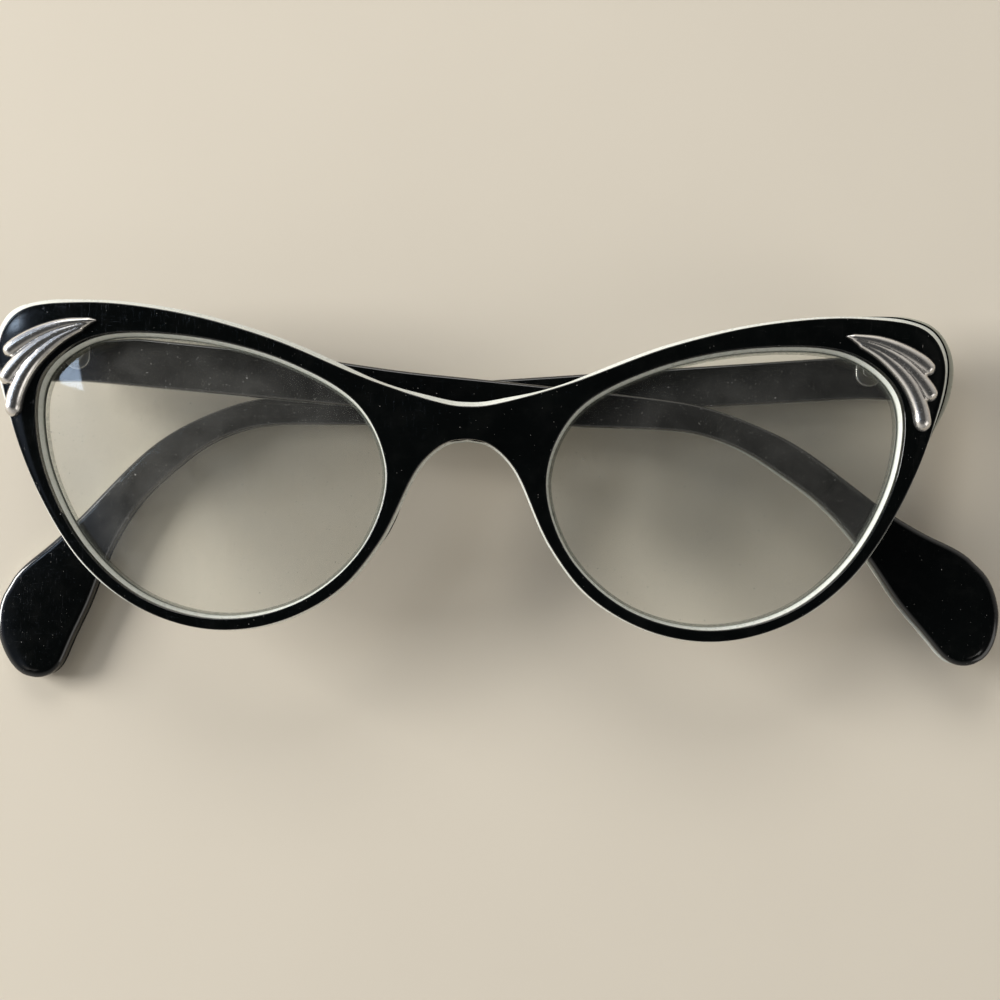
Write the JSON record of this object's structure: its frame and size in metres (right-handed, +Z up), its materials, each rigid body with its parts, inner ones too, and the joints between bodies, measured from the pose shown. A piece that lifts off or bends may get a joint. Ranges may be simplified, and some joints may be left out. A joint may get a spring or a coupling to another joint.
{
  "type": "eyeglasses frame",
  "caption": "Cat-eye spectacle frame in laminated black and white acetate with silver feather ornaments, clear lenses and folding paddle-tipped temples.",
  "frame": {"origin": "middle of the folded object's bounding box, at the table", "axes": "+X across the front to the viewer's right, +Y towards the brow, +Z up from the table and out of the front's face"},
  "size_m": [0.1396, 0.0526, 0.0174],
  "materials": {
    "black_acetate": "polished, with fine scratches and dust",
    "white_acetate": "polished cut edge",
    "pale_acetate": "polished",
    "clear_lens": "clear, dusty",
    "polished_silver": "polished and slightly worn",
    "nickel": "satin",
    "screw_steel": "satin"
  },
  "bodies": {
    "front": {"front_back_ply": "black_acetate", "front_black_ply": "black_acetate", "front_white_ply": "white_acetate", "left_endpiece_block": "pale_acetate", "left_hinge_front_leaf": "nickel", "left_hinge_screw": "screw_steel", "left_lens": "clear_lens", "left_nose_pad": "black_acetate", "left_wing_ornament": "polished_silver", "left_wing_pin_lower": "nickel", "left_wing_pin_upper": "nickel", "right_endpiece_block": "pale_acetate", "right_hinge_front_leaf": "nickel", "right_hinge_screw": "screw_steel", "right_lens": "clear_lens", "right_nose_pad": "black_acetate", "right_wing_ornament": "polished_silver", "right_wing_pin_lower": "nickel", "right_wing_pin_upper": "nickel"},
    "left_temple": {"left_hinge_temple_leaf": "nickel", "left_temple_inner_ply": "black_acetate", "left_temple_outer_ply": "black_acetate", "left_temple_rivet": "nickel", "left_temple_white_ply": "white_acetate"},
    "right_temple": {"right_hinge_temple_leaf": "nickel", "right_temple_inner_ply": "black_acetate", "right_temple_outer_ply": "black_acetate", "right_temple_rivet": "nickel", "right_temple_white_ply": "white_acetate"}
  },
  "joints": [
    {"name": "left_temple_hinge", "type": "hinge", "parent": "front", "child": "left_temple", "pos_m": [-0.06098, 0.01909, 0.00917], "axis": [0, 1, 0], "range_deg": [0, 92]},
    {"name": "right_temple_hinge", "type": "hinge", "parent": "front", "child": "right_temple", "pos_m": [0.05555, 0.01909, 0.005], "axis": [0, -1, 0], "range_deg": [0, 88.2]}
  ]
}
